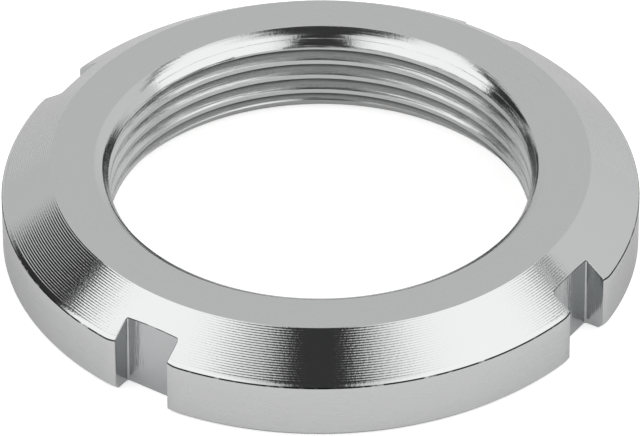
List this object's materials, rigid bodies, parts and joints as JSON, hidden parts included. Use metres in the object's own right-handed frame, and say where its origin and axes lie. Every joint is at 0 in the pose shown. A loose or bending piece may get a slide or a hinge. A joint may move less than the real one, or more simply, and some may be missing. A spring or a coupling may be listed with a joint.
{
  "type": "bearing lock nut",
  "caption": "Round slotted lock nut with a fine internal thread, hook-spanner slots across the rim and a long chamfer towards the narrower top face.",
  "frame": {"origin": "centre of the plain seat face (the nut's underside), on the thread axis", "axes": "+Z along the thread axis towards the chamfered face; slots on +X, -X, +Y and -Y"},
  "size_m": [0.0518, 0.0518, 0.008],
  "materials": {
    "zinc_steel": "bright zinc-plated, turned"
  },
  "bodies": {
    "root": {"lock_nut": "zinc_steel"}
  },
  "joints": []
}
